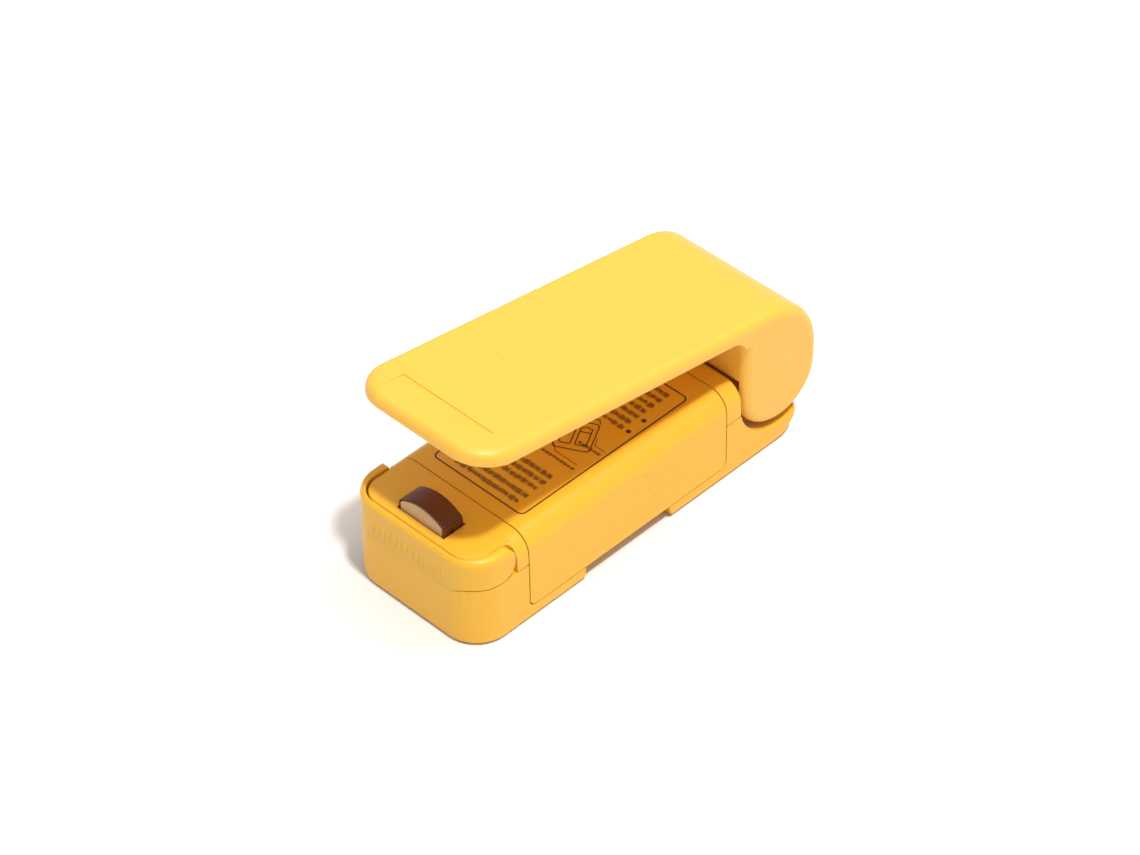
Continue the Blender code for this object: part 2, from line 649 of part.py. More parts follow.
def battery_bay():
    cell("battery_cell_left", -1, True)
    cell("battery_cell_right", 1, False)
    for name, side in (("left", -1), ("right", 1)):
        low = BAY_FRONT + GAP
        part(block("contact_plate_" + name, (side * CELL_X - 5.5, low, 6.2),
                   (side * CELL_X + 5.5, low + PLATE, 17.4)), NICKEL)
    high = BAY_REAR - GAP
    part(block("contact_bridge", (-13.0, high - PLATE, 6.2), (13.0, high, 17.4)), NICKEL)
    rear_gap = (cell_middle(True) + 25.25, BAY_REAR - GAP - PLATE)
    front_gap = (BAY_FRONT + GAP + PLATE, cell_middle(False) - 25.25)
    for name, side, (low, high) in (("rear", -1, rear_gap), ("front", 1, front_gap)):
        length = high - low - 2 * GAP
        spring = coil("contact_spring_" + name, 0.35, (2.0, 4.6), (0, length), 3.6, 12)
        turn = -90 if name == "rear" else 90
        start = low + GAP if name == "rear" else high - GAP
        part(place(spring, (turn, 0, 0), (side * CELL_X, start, CELL_Z)), NICKEL)


# ---- the lever -------------------------------------------------------------
def lever_plan(name, inset, corner, low, high):
    """The lever seen from above, with its walls square to the top skin."""
    half = WIDTH / 2 - inset
    outline = mirrored([(half, TAIL_Y + 15, 0), (half, LEVER_FRONT + inset, corner)])
    plan = prism(name, "Z", rounded(outline, 12), low, high)
    for vertex in plan.data.vertices:
        vertex.co.y += (vertex.co.z - lever_top(LEVER_FRONT) * MM) * tan(LEVER_TILT)
    return plan


def lever_arm():
    half = WIDTH / 2
    arm = prism("lever_arm", "X", lever_outline(0, LEVER_THICK), -half, half)
    keep(arm, lever_plan("lever_plan", 0, LEVER_CORNER, -20, 70))
    settle(arm)

    def outer_edge(a, b):
        """The rim of the top skin round the nose, and the outline of both cheeks."""
        depth = min(a.z - lever_top(a.y), b.z - lever_top(b.y))
        if a.x * b.x > 0 and min(abs(a.x), abs(b.x)) > half - 0.01:
            below = depth < -2 * LEVER_THICK
            return below or depth > -0.05 or max(a.y, b.y) > THROAT_Y + 1
        across = a.x * b.x < 0 and (a.y + b.y) / 2 > LEVER_FRONT + 5
        return depth > -0.05 and not across

    round_edges(arm, outer_edge, LEVER_ROUND, 5)

    skin = 1.6
    hollow = prism("lever_hollow", "X", lever_outline(skin + 0.3, 9.0), -half + 2.0, half - 2.0)
    hood = block("hood_room", (-30, THROAT_Y + 2.0, -5), (30, 60, 60))
    keep(hollow, hood)
    open_end = prism("hood_mouth", "X", [(THROAT_Y - 2, -5), (50.4, -5), (50.4, 17.0), (46.0, 17.0),
                     (32.0, WALL_LOW), (THROAT_Y - 2, WALL_LOW)], -half + 2.0, half - 2.0)
    slope = tan(LEVER_TILT)
    front = LEVER_FRONT - 2
    ceiling = LEVER_TOP_AT_0 - skin / cos(LEVER_TILT)
    recess = prism("liner_recess", "X", [(front, ceiling - slope * front - 9),
                   (26.0, ceiling - slope * 26.0 - 9), (26.0, ceiling - slope * 26.0),
                   (front, ceiling - slope * front)], -half + 1.6, half - 1.6)
    keep(recess, lever_plan("liner_recess_plan", 1.6, LEVER_CORNER - 1.6, 20, 70))
    thumb = thumb_rest()
    cut(arm, hollow, open_end, recess, thumb)
    for name, low, high in (("left", -17.9, -15.7), ("right", 15.7, 17.9)):
        join(arm, rod("lever_boss_" + name, "X", HINGE_AXIS, 3.4, low, high, 24))
    bore = rod("lever_pin_bore", "X", HINGE_AXIS, PIN_RADIUS + 0.05, -half + 1.1, half - 1.1, 20)
    return part(cut(arm, bore), YELLOW_LEVER)


def thumb_rest():
    """A shallow wedge sunk into the top skin behind the nose."""
    rear, depth, reach = -40.3, 0.28, 5.5
    slope = tan(LEVER_TILT)
    top = LEVER_TOP_AT_0
    outline = [(rear, top - slope * rear - depth), (rear, top - slope * rear + 1),
               (rear - reach, top - slope * (rear - reach) + 1), (rear - reach, top - slope * (rear - reach))]
    wedge = prism("thumb_wedge", "X", outline, -12.8, 12.8)
    return wedge


def lever_liner():
    """The panel that closes the plate from below and carries the anvil."""
    slope = tan(LEVER_TILT)
    skin = 1.6 + GAP
    top = LEVER_TOP_AT_0 - skin / cos(LEVER_TILT)
    low = LEVER_TOP_AT_0 - LEVER_THICK / cos(LEVER_TILT)
    front, rear = LEVER_FRONT - 2, 25.6
    side = [(front, low - slope * front), (rear, low - slope * rear),
            (rear, top - slope * rear), (front, top - slope * front)]
    half = WIDTH / 2 - 1.6 - GAP
    liner = prism("lever_liner", "X", side, -half, half)
    keep(liner, lever_plan("liner_plan", 1.6 + GAP, LEVER_CORNER - 1.6 - GAP, 20, 70))
    return part(cut(liner, anvil_box("anvil_pocket", GAP, -5, 10)), YELLOW)


def anvil_box(name, grow, low, high):
    """A block square to the heater when the lever is closed.

    low and high are heights above the pad's working face.
    """
    y, z = HINGE_AXIS
    face = CROWN_Z + 0.45 - HEATER_TRAVEL + 0.1 - z
    front = HEATER_FRONT - 1.2 - grow - y
    rear = HEATER_REAR + 1.2 + grow - y

    def opened(u, v):
        turn = -CLOSED_ANGLE
        return (y + u * cos(turn) - v * sin(turn), z + u * sin(turn) + v * cos(turn))

    outline = [opened(front, face + low), opened(rear, face + low),
               opened(rear, face + high), opened(front, face + high)]
    return prism(name, "X", outline, -8.0 - grow, 8.0 + grow)


def anvil_pad():
    return part(anvil_box("anvil_pad", 0, 0, ANVIL_THICK), SILICONE)


def hinge():
    part(rod("hinge_pin", "X", HINGE_AXIS, PIN_RADIUS, -18.1, 18.1, 20), STEEL)
    spring = coil("lever_spring", 0.45, (2.9, 2.9), (15.5, 36.2), 7.6, 12)
    part(place(spring, (0, 0, 0), (*SPRING_SEAT, 0)), STEEL)


# ---- moving groups ---------------------------------------------------------
def on_axis(name, location, pieces):
    """Parent the pieces to an empty that lies on their joint's axis."""
    empty = bpy.data.objects.new(name, None)
    bpy.data.collections[PARTS].objects.link(empty)
    empty.location = [value * MM for value in location]
    bpy.context.view_layer.update()
    for piece in pieces:
        obj = bpy.data.objects[piece]
        obj.parent = empty
        obj.matrix_parent_inverse = empty.matrix_world.inverted()


def main():
    start_clean()
    bottom_case()
    upper_chassis()
    battery_cover()
    safety_guard()
    middle = heater()
    switch_and_leads(middle)
    battery_bay()
    case_screws()
    lever_arm()
    lever_liner()
    anvil_pad()
    hinge()
    on_axis("lever_axis", (0, *HINGE_AXIS), ["lever_arm", "lever_liner", "anvil_pad"])
    on_axis("guard_axis", (0, *GUARD_AXIS), ["safety_guard"])
    on_axis("heater_axis", (0, middle, 17.5),
            ["heater_block", "heater_ribbon", "heater_tape", "switch_blade"])
    on_axis("cover_axis", (0, (COVER_FRONT + COVER_REAR) / 2, BODY_TOP), ["battery_cover"])
    for side, plus_front in (("left", True), ("right", False)):
        sign = -1 if side == "left" else 1
        on_axis("cell_axis_" + side, (sign * CELL_X, cell_middle(plus_front), CELL_Z),
                ["battery_cell_" + side])


main()
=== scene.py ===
"""Looks for the handheld bag heat sealer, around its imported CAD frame."""

import random
from math import acos, cos, pi, radians, sin

import bmesh
import bpy
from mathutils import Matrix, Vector


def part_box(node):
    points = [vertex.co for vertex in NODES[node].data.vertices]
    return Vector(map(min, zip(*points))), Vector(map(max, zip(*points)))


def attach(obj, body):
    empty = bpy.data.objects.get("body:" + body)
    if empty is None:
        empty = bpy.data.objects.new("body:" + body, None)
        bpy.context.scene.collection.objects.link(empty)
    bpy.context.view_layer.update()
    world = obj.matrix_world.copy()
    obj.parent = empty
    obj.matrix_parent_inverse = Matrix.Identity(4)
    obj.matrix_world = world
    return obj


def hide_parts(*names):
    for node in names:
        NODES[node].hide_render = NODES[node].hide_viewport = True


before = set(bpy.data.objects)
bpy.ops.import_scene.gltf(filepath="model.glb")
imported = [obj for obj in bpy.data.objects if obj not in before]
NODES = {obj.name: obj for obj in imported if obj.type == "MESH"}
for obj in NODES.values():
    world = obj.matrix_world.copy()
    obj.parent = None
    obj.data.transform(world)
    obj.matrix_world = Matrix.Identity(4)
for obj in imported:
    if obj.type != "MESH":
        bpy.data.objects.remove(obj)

MM = 0.001

# The camera: lens and sensor in millimetres, place and direction in metres.
LENS = 118.0
SENSOR = 36.0
CAMERA_PLACE = (0.41022, -0.42707, 0.55260)
CAMERA_AIM = (-0.517, 0.532, -0.670)

# The strength of the sky from the horizon down, and straight above.
SKY_LOW, SKY_HIGH = 0.16, 0.86

# The colours of the plastics that face outwards.
BODY = (0.91, 0.475, 0.030)
LEVER = (0.93, 0.510, 0.065)

# Places that the frame gives, in millimetres.
LABEL_TOP = round(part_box("battery_cover")[1][2] / MM, 3)
NOSE = round(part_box("safety_guard")[0][1] / MM, 3)

# The printed panel on the battery cover, in millimetres.
INK_LOW, INK_HIGH = LABEL_TOP + 0.012, LABEL_TOP + 0.035
PANEL = (-12.8, -33.0, 13.4, 17.4)
PANEL_CORNER = 1.3
PANEL_LINE = 0.34
ROW_END = -11.9
BULLET_ROWS = (5.7, 1.0)
DIAGRAM_AT = (4.3, -7.6)
DIAGRAM_TURN = radians(28)
DIAGRAM_LINE = 0.26
POINTER_LINE = 0.16

# The ribs on the guard's front, in millimetres.
RIB_COUNT, RIB_PITCH, RIB_START = 13, 1.65, -11.0
RIB_RADIUS = 0.36
RIB_LOW, RIB_HIGH = 15.9, 18.35
RIB_SUNK, RIB_PROUD = 0.05, 0.16

# The tape over the heater, in millimetres.
TAPE_RADIUS = 10.35
TAPE_HALF = 6.4
TAPE_FOOT = 20.5
TAPE_FLARE_TOP = 24.6
TAPE_INSET = 0.12
TAPE_COLUMNS = 22
TAPE_CROWN_STEPS, TAPE_SIDE_STEPS = 24, 9
TAPE_THICK = 0.22

# A battery cell along its length from its middle, in millimetres.
SLEEVE_HALF = 24.3
BAND_START = 9


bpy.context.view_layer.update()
random.seed(7)


# ---- camera, light and floor ------------------------------------------------
def set_camera():
    """A long lens that looks down at the nose and the right side."""
    data = bpy.data.cameras.new("camera")
    data.lens = LENS
    data.sensor_width = SENSOR
    data.clip_start = 0.01
    camera = bpy.data.objects.new("camera", data)
    bpy.context.scene.collection.objects.link(camera)
    camera.location = CAMERA_PLACE
    camera.rotation_euler = Vector(CAMERA_AIM).to_track_quat("-Z", "Y").to_euler()
    bpy.context.scene.camera = camera


def set_light():
    """A soft overhead sky, brightest at the top, a key light and a weak fill."""
    world = bpy.data.worlds.new("studio")
    world.use_nodes = True
    tree = world.node_tree
    sky = tree.nodes["Background"]
    sky.inputs["Color"].default_value = (0.96, 0.97, 1.0, 1.0)
    where = tree.nodes.new("ShaderNodeTexCoord")
    parts = tree.nodes.new("ShaderNodeSeparateXYZ")
    height = tree.nodes.new("ShaderNodeMapRange")
    height.inputs["To Min"].default_value = SKY_LOW
    height.inputs["To Max"].default_value = SKY_HIGH
    tree.links.new(where.outputs["Generated"], parts.inputs[0])
    tree.links.new(parts.outputs["Z"], height.inputs["Value"])
    tree.links.new(height.outputs[0], sky.inputs["Strength"])
    bpy.context.scene.world = world
    bpy.context.scene.view_settings.view_transform = "Standard"
    lamp("key", (0.30, -0.03, 1.0), 2.45, 5, (1.0, 0.975, 0.93))
    lamp("fill", (0.12, 0.34, 1.0), 0.70, 18, (1.0, 0.96, 0.90))


def lamp(name, toward, energy, angle, colour):
    """A distant light that shines from a direction, with soft shadows."""
    sun = bpy.data.lights.new(name, "SUN")
    sun.energy = energy
    sun.angle = radians(angle)
    sun.color = colour
    obj = bpy.data.objects.new(name, sun)
    bpy.context.scene.collection.objects.link(obj)
    obj.rotation_euler = Vector(toward).to_track_quat("Z", "Y").to_euler()


def make_floor():
    """A plain pale floor just under the object."""
    mesh = bpy.data.meshes.new("floor")
    work = bmesh.new()
    bmesh.ops.create_grid(work, x_segments=4, y_segments=4, size=3.0)
    work.to_mesh(mesh)
    work.free()
    floor = bpy.data.objects.new("floor", mesh)
    bpy.context.scene.collection.objects.link(floor)
    floor.location.z = -0.0001
    look = Look("floor", (0.79, 0.785, 0.78), 0.9)
    look.colour(look.blend(look.noise(9, 2), (0.78, 0.775, 0.77), (0.80, 0.795, 0.79)))
    mesh.materials.append(look.material)


# ---- materials --------------------------------------------------------------
class Look:
    """A procedural material on a Principled shader, in object coordinates."""

    def __init__(self, name, colour, roughness, metallic=0.0, **constants):
        self.material = bpy.data.materials.new(name)
        self.material.use_nodes = True
        self.tree = self.material.node_tree
        self.shader = self.tree.nodes["Principled BSDF"]
        self.shader.inputs["Base Color"].default_value = (*colour, 1.0)
        self.shader.inputs["Roughness"].default_value = roughness
        self.shader.inputs["Metallic"].default_value = metallic
        for socket, value in constants.items():
            self.shader.inputs[socket.replace("_", " ")].default_value = value
        self.where = self.tree.nodes.new("ShaderNodeTexCoord").outputs["Object"]
        self.normal = None

    def node(self, kind, values=(), **settings):
        made = self.tree.nodes.new(kind)
        for key, value in settings.items():
            setattr(made, key, value)
        for socket, value in dict(values).items():
            if isinstance(value, bpy.types.NodeSocket):
                self.tree.links.new(value, made.inputs[socket])
            else:
                made.inputs[socket].default_value = value
        return made

    def math(self, operation, first, second=0.0):
        return self.node("ShaderNodeMath", {0: first, 1: second}, operation=operation).outputs[0]

    def stretched(self, scale):
        """The coordinates scaled by a factor for each axis."""
        return self.node("ShaderNodeMapping", {"Vector": self.where, "Scale": scale}).outputs[0]

    def noise(self, scale, detail=3.0, where=None):
        made = self.node("ShaderNodeTexNoise", {"Vector": where or self.where, "Scale": scale,
                                                "Detail": detail})
        return made.outputs["Fac"]

    def axis(self, letter):
        parts = self.node("ShaderNodeSeparateXYZ", {0: self.where})
        return parts.outputs[letter]

    def band(self, value, low, high, soft=0.00005):
        """1 where value lies between low and high."""
        rise = self.node("ShaderNodeMapRange", {0: value, 1: low - soft, 2: low + soft}).outputs[0]
        fall = self.node("ShaderNodeMapRange", {0: value, 1: high - soft, 2: high + soft,
                                                3: 1.0, 4: 0.0}).outputs[0]
        return self.math("MULTIPLY", rise, fall)

    def fit(self, value, low, high):
        """A 0..1 value mapped to low..high."""
        return self.node("ShaderNodeMapRange", {0: value, 3: low, 4: high}).outputs[0]

    def blend(self, factor, first, second):
        made = self.node("ShaderNodeMix", data_type="RGBA")
        for socket, value in ((0, factor), (6, first), (7, second)):
            if isinstance(value, bpy.types.NodeSocket):
                self.tree.links.new(value, made.inputs[socket])
            else:
                made.inputs[socket].default_value = value if socket == 0 else (*value, 1.0)
        return made.outputs[2]

    def colour(self, socket):
        self.tree.links.new(socket, self.shader.inputs["Base Color"])

    def roughness(self, socket):
        self.tree.links.new(socket, self.shader.inputs["Roughness"])

    def metallic(self, socket):
        self.tree.links.new(socket, self.shader.inputs["Metallic"])

    def bump(self, height, distance, strength=1.0):
        """Adds a bump over the ones that are there already."""
        values = {"Height": height, "Distance": distance, "Strength": strength}
        if self.normal:
            values["Normal"] = self.normal
        self.normal = self.node("ShaderNodeBump", values).outputs[0]
        self.tree.links.new(self.normal, self.shader.inputs["Normal"])

    def specks(self, base, scale, size, dark, amount=0.35):
        """Tiny dark inclusions scattered through a moulding."""
        cells = self.node("ShaderNodeTexVoronoi", {"Vector": self.where, "Scale": scale})
        near = self.math("LESS_THAN", cells.outputs["Distance"], size)
        pick = self.node("ShaderNodeSeparateColor", {0: cells.outputs["Color"]}).outputs[0]
        some = self.math("LESS_THAN", pick, amount)
        return self.blend(self.math("MULTIPLY", near, some), base, dark)


def moulded_plastic(name, colour, marks=()):
    """Satin ABS: faint clouding, fine mould grain, a few specks and hairlines."""
    look = Look(name, colour, 0.40, Subsurface_Weight=0.22, Subsurface_Scale=0.0024,
                Subsurface_Radius=(1.0, 0.36, 0.05), Specular_IOR_Level=0.45)
    pale = [min(1.0, value * 1.02 + 0.002) for value in colour]
    deep = [value * 0.97 for value in colour]
    clouds = look.noise(38, 3)
    base = look.blend(clouds, deep, pale)
    base = look.specks(base, 210, 0.030, (0.20, 0.09, 0.02), 0.22)
    look.colour(look.specks(base, 520, 0.045, (0.45, 0.23, 0.04), 0.10))
    look.roughness(look.fit(look.noise(700, 4), 0.34, 0.50))
    look.bump(look.noise(60, 2), 0.00012, 0.35)
    look.bump(look.noise(5200, 3), 0.00001, 0.45)
    scratch = look.noise(900, 2, look.stretched((0.25, 3.0, 1.0)))
    look.bump(look.math("GREATER_THAN", scratch, 0.735), 0.000003, 0.35)
    for y, z, radius, depth in marks:
        look.bump(sink_mark(look, y, z, radius), depth, 0.8)
    return look.material


def sink_mark(look, y, z, radius):
    """A round shallow dent seen from the side, at (y, z)."""
    dy = look.math("SUBTRACT", look.axis("Y"), y * MM)
    dz = look.math("SUBTRACT", look.axis("Z"), z * MM)
    square = look.math("ADD", look.math("MULTIPLY", dy, dy), look.math("MULTIPLY", dz, dz))
    away = look.math("SQRT", square)
    return look.node("ShaderNodeMapRange", {0: away, 1: radius * 0.55 * MM, 2: radius * MM},
                     interpolation_type="SMOOTHSTEP").outputs[0]


def woven_tape(name):
    """Glass cloth coated with brown PTFE: a fine plain weave with a dull gloss."""
    look = Look(name, (0.20, 0.045, 0.009), 0.45, Specular_IOR_Level=0.35)
    threads = {"Vector": look.where, "Scale": 640.0, "Distortion": 0.6, "Detail": 1.0,
               "Detail Scale": 30.0}
    across, along = [look.node("ShaderNodeTexWave", threads, wave_type="BANDS",
                               bands_direction=way).outputs["Fac"] for way in "XY"]
    weave = look.math("MULTIPLY", across, along)
    stain = look.noise(420, 4)
    base = look.blend(weave, (0.085, 0.017, 0.004), (0.36, 0.090, 0.018))
    base = look.blend(look.fit(stain, 0.0, 0.55), base, (0.15, 0.034, 0.007))
    look.colour(base)
    look.roughness(look.fit(stain, 0.30, 0.55))
    look.bump(weave, 0.00006, 0.9)
    look.bump(stain, 0.00010, 0.5)
    return look.material


def heater_plastic(name):
    """Pale brown heat-proof plastic, a little scorched at the crown."""
    look = Look(name, (0.72, 0.50, 0.27), 0.6, Specular_IOR_Level=0.35)
    base = look.blend(look.noise(260, 4), (0.64, 0.42, 0.21), (0.80, 0.58, 0.33))
    scorched = look.band(look.axis("Z"), 0.0262, 0.0300, 0.0008)
    look.colour(look.blend(look.math("MULTIPLY", scorched, 0.35), base, (0.40, 0.22, 0.09)))
    look.roughness(look.fit(look.noise(900, 3), 0.5, 0.72))
    look.bump(look.noise(3000, 4), 0.00002, 0.6)
    return look.material


def metal(name, colour, roughness, drawn=(1.0, 1.0, 1.0), tarnish=(0.35, 0.27, 0.2)):
    """Rolled or drawn metal with streaks along its length and a little tarnish."""
    look = Look(name, colour, roughness, 1.0)
    streak = look.noise(1500, 3, look.stretched(drawn))
    dull = look.noise(180, 4)
    base = look.blend(streak, [value * 0.82 for value in colour], colour)
    mask = look.node("ShaderNodeMapRange", {0: dull, 1: 0.58, 2: 0.80, 4: 0.6}).outputs[0]
    look.colour(look.blend(mask, base, tarnish))
    look.roughness(look.fit(streak, roughness * 0.75, roughness * 1.4))
    look.bump(streak, 0.000006, 0.5)
    return look.material


def rubbery(name, colour, roughness):
    """Silicone or wire sleeving with a film of dust."""
    look = Look(name, colour, roughness, Specular_IOR_Level=0.4)
    dust = look.noise(500, 5)
    pale = [value * 0.8 + 0.05 for value in colour]
    look.colour(look.blend(look.fit(dust, 0.0, 0.5), colour, pale))
    look.roughness(look.fit(dust, roughness - 0.1, roughness + 0.15))
    look.bump(look.noise(4200, 3), 0.00002, 0.5)
    return look.material


def printed_ink(name):
    """Pad-printed ink: dark brown, a little thin at places."""
    look = Look(name, (0.075, 0.022, 0.008), 0.55)
    worn = look.noise(1600, 4)
    base = look.blend(look.fit(worn, -0.25, 0.55), (0.055, 0.016, 0.006), (0.14, 0.055, 0.012))
    look.colour(base)
    look.roughness(look.fit(worn, 0.45, 0.65))
    look.bump(worn, 0.000008, 0.4)
    return look.material


def cell_skin(name, node, side):
    """A round cell: a dark sleeve with a plain band on one side (-1 front), bare metal ends."""
    look = Look(name, (0.1, 0.11, 0.12), 0.35, Coat_Weight=0.3, Coat_Roughness=0.2)
    y = look.axis("Y")
    low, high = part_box(node)
    middle = (low[1] + high[1]) / 2
    start, end = middle + side * BAND_START * MM, middle + side * SLEEVE_HALF * MM
    band = look.band(y, min(start, end), max(start, end))
    sleeve = look.blend(look.noise(300, 3), (0.030, 0.032, 0.036), (0.050, 0.052, 0.058))
    base = look.blend(band, sleeve, (0.46, 0.25, 0.09))
    sleeved = look.band(y, middle - SLEEVE_HALF * MM, middle + SLEEVE_HALF * MM)
    bare = look.math("SUBTRACT", 1.0, sleeved)
    look.colour(look.blend(bare, base, (0.62, 0.60, 0.57)))
    look.metallic(look.math("MAXIMUM", bare, look.math("MULTIPLY", band, 0.85)))
    look.roughness(look.fit(look.noise(900, 3), 0.22, 0.40))
    look.bump(look.noise(1200, 3), 0.00001, 0.4)
    return look.material


# ---- mesh helpers -----------------------------------------------------------
def piece(name, mesh, look, body):
    """A visible piece that rides on a body of the frame."""
    obj = bpy.data.objects.new(name, mesh)
    bpy.context.scene.collection.objects.link(obj)
    mesh.materials.append(look)
    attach(obj, body)
    return obj


def arc_points(cx, cy, radius, start, end, steps):
    """Points along an arc from one angle to another, in degrees."""
    return [(cx + radius * cos(radians(start + (end - start) * step / steps)),
             cy + radius * sin(radians(start + (end - start) * step / steps)))
            for step in range(steps + 1)]


def rounded_outline(x0, y0, x1, y1, corner, steps):
    """The outline of a rectangle with rounded corners."""
    outline = []
    for cx, cy, start in ((x1 - corner, y0 + corner, -90), (x1 - corner, y1 - corner, 0),
                          (x0 + corner, y1 - corner, 90), (x0 + corner, y0 + corner, 180)):
        outline += arc_points(cx, cy, corner, start, start + 90, steps)
    return outline


def ink_patch(work, ring):
    """Adds a patch of ink with the given outline to a bmesh."""
    extrude_ring(work, ring, INK_LOW, INK_HIGH)


def extrude_ring(work, ring, z0, z1):
    """Adds a closed block between two heights to a bmesh, in millimetres."""
    low = [work.verts.new((x * MM, y * MM, z0 * MM)) for x, y in ring]
    high = [work.verts.new((x * MM, y * MM, z1 * MM)) for x, y in ring]
    work.faces.new(list(reversed(low)))
    work.faces.new(high)
    for index in range(len(ring)):
        after = (index + 1) % len(ring)
        work.faces.new((low[index], low[after], high[after], high[index]))


def stroke(work, points, width, z0, z1, closed=False):
    """Adds a flat line through the points; it is a little thinner at a sharp corner."""
    count = len(points)
    rails = []
    for index, (x, y) in enumerate(points):
        before = points[index - 1] if closed or index else points[index]
        after = points[(index + 1) % count] if closed or index < count - 1 else points[index]
        run = Vector((after[0] - before[0], after[1] - before[1])).normalized()
        rails.append(((x - run.y * width / 2, y + run.x * width / 2),
                      (x + run.y * width / 2, y - run.x * width / 2)))
    pairs = [(work_verts(work, left, z0, z1), work_verts(work, right, z0, z1))
             for left, right in rails]
    last = count if closed else count - 1
    for index in range(last):
        (l0, l1), (r0, r1) = pairs[index]
        (m0, m1), (s0, s1) = pairs[(index + 1) % count]
        work.faces.new((l1, r1, s1, m1))
        work.faces.new((l0, m0, s0, r0))
        work.faces.new((l0, l1, m1, m0))
        work.faces.new((r1, r0, s0, s1))
    if not closed:
        (l0, l1), (r0, r1) = pairs[0]
        work.faces.new((l0, r0, r1, l1))
        (l0, l1), (r0, r1) = pairs[-1]
        work.faces.new((r0, l0, l1, r1))


def work_verts(work, place, z0, z1):
    return (work.verts.new((place[0] * MM, place[1] * MM, z0 * MM)),
            work.verts.new((place[0] * MM, place[1] * MM, z1 * MM)))


def finished(name, work, smooth=False):
    """Turns a bmesh into a mesh whose faces point out."""
    bmesh.ops.recalc_face_normals(work, faces=work.faces)
    mesh = bpy.data.meshes.new(name)
    work.to_mesh(mesh)
    work.free()
    if smooth:
        mesh.shade_smooth()
    return mesh


# ---- the printed panel on the battery cover ---------------------------------
def label_print(ink):
    """The panel: a frame, rows in place of wording, two bullets and a small diagram."""
    for name, draw in (("label_frame", panel_frame), ("label_rows", panel_rows),
                       ("label_diagram", panel_diagram)):
        work = bmesh.new()
        draw(work)
        piece(name, finished(name, work), ink, "cover")


def ink_line(work, points, width, closed=False):
    """Adds a printed line through the points to a bmesh."""
    stroke(work, points, width, INK_LOW, INK_HIGH, closed=closed)


def panel_frame(work):
    """The rounded frame round the panel."""
    ink_line(work, rounded_outline(*PANEL, PANEL_CORNER, 6), PANEL_LINE, closed=True)


def panel_rows(work):
    """Rows of blocks that run from the right to the left, given as (y, start, blocks)."""
    rows = [(15.0, 9.9, 6), (12.7, 9.9, 13), (10.3, 9.9, 13), (8.0, 9.9, 13), (5.7, 9.9, 12),
            (3.3, 9.9, 7), (1.0, 9.9, 12), (-20.6, 9.9, 8), (-22.9, 10.2, 12), (-25.2, 10.0, 12),
            (-28.2, 10.3, 10), (-30.6, 10.0, 12)]
    for y, start, blocks in rows:
        x = start
        for _ in range(blocks):
            size = random.choice((1.1, 1.4, 1.5, 1.55))
            if x - size < ROW_END:
                break
            hatched_block(work, x - size, y - size / 2, size)
            x -= size + random.choice((0.12, 0.18, 0.3))
    caption_block, caption_pitch = 0.85, 1.05
    for x, y, blocks in ((12.2, -8.6, 6), (11.4, -15.6, 9)):
        for _ in range(blocks):
            hatched_block(work, x - caption_block, y - 0.42, caption_block)
            x -= caption_pitch


def hatched_block(work, x, y, size):
    """A patch of fine upright lines of uneven height, which stands for printed wording."""
    lines = 4
    pitch = size / lines
    for line in range(lines):
        left = x + pitch * (line + 0.2)
        right = left + pitch * 0.62
        low = y + size * random.choice((0.0, 0.08, 0.2))
        high = y + size * random.choice((1.0, 0.92, 0.8))
        ink_patch(work, [(left, low), (right, low), (right, high), (left, high)])


def panel_diagram(work):
    """Two plain bullets, and a small box with a lid, two round cells and pointer lines."""
    def turned(points):
        return [(x * cos(DIAGRAM_TURN) - y * sin(DIAGRAM_TURN) + DIAGRAM_AT[0],
                 x * sin(DIAGRAM_TURN) + y * cos(DIAGRAM_TURN) + DIAGRAM_AT[1])
                for x, y in points]

    for y in BULLET_ROWS:
        ink_patch(work, rounded_outline(10.9, y - 0.5, 12.0, y + 0.5, 0.3, 3))
    ink_line(work, turned(rounded_outline(-4.1, -4.5, 4.1, 4.5, 0.9, 4)), DIAGRAM_LINE, closed=True)
    for x in (-1.75, 1.75):
        cell = arc_points(x + 0.9, -2.5, 0.35, -90, 0, 3)
        cell += arc_points(x + 0.9, 2.3, 0.35, 0, 90, 3)
        cell += [(x + 0.45, 2.65), (x + 0.45, 3.05), (x - 0.45, 3.05), (x - 0.45, 2.65)]
        cell += arc_points(x - 0.9, 2.3, 0.35, 90, 180, 3)
        cell += arc_points(x - 0.9, -2.5, 0.35, 180, 270, 3)
        ink_line(work, turned(cell), DIAGRAM_LINE, closed=True)
        ink_line(work, turned([(x - 1.2, 1.4), (x + 1.2, 1.4)]), DIAGRAM_LINE)
    lid = [(-4.1, 4.7), (-3.6, 6.0), (3.6, 6.0), (4.1, 4.7)]
    ink_line(work, turned(lid), DIAGRAM_LINE)
    ink_line(work, [(8.3, -5.2), (9.4, -7.2), (12.2, -7.2)], POINTER_LINE)
    ink_line(work, [(2.4, -12.4), (4.6, -14.1), (10.8, -14.1)], POINTER_LINE)


# ---- raised grip on the guard's front ---------------------------------------
def guard_grip(look):
    """A row of low rounded ribs on the guard's front, in place of raised lettering."""
    work = bmesh.new()
    for index in range(RIB_COUNT):
        x = RIB_START + index * RIB_PITCH
        ring = arc_points(x, RIB_HIGH, RIB_RADIUS, 0, 180, 6)
        ring += arc_points(x, RIB_LOW, RIB_RADIUS, 180, 360, 6)
        shell_front(work, ring, NOSE + RIB_SUNK, NOSE - RIB_PROUD, 0.72)
    mesh = finished("guard_grip", work, smooth=True)
    mesh.set_sharp_from_angle(angle=radians(40))
    piece("guard_grip", mesh, look, "guard")


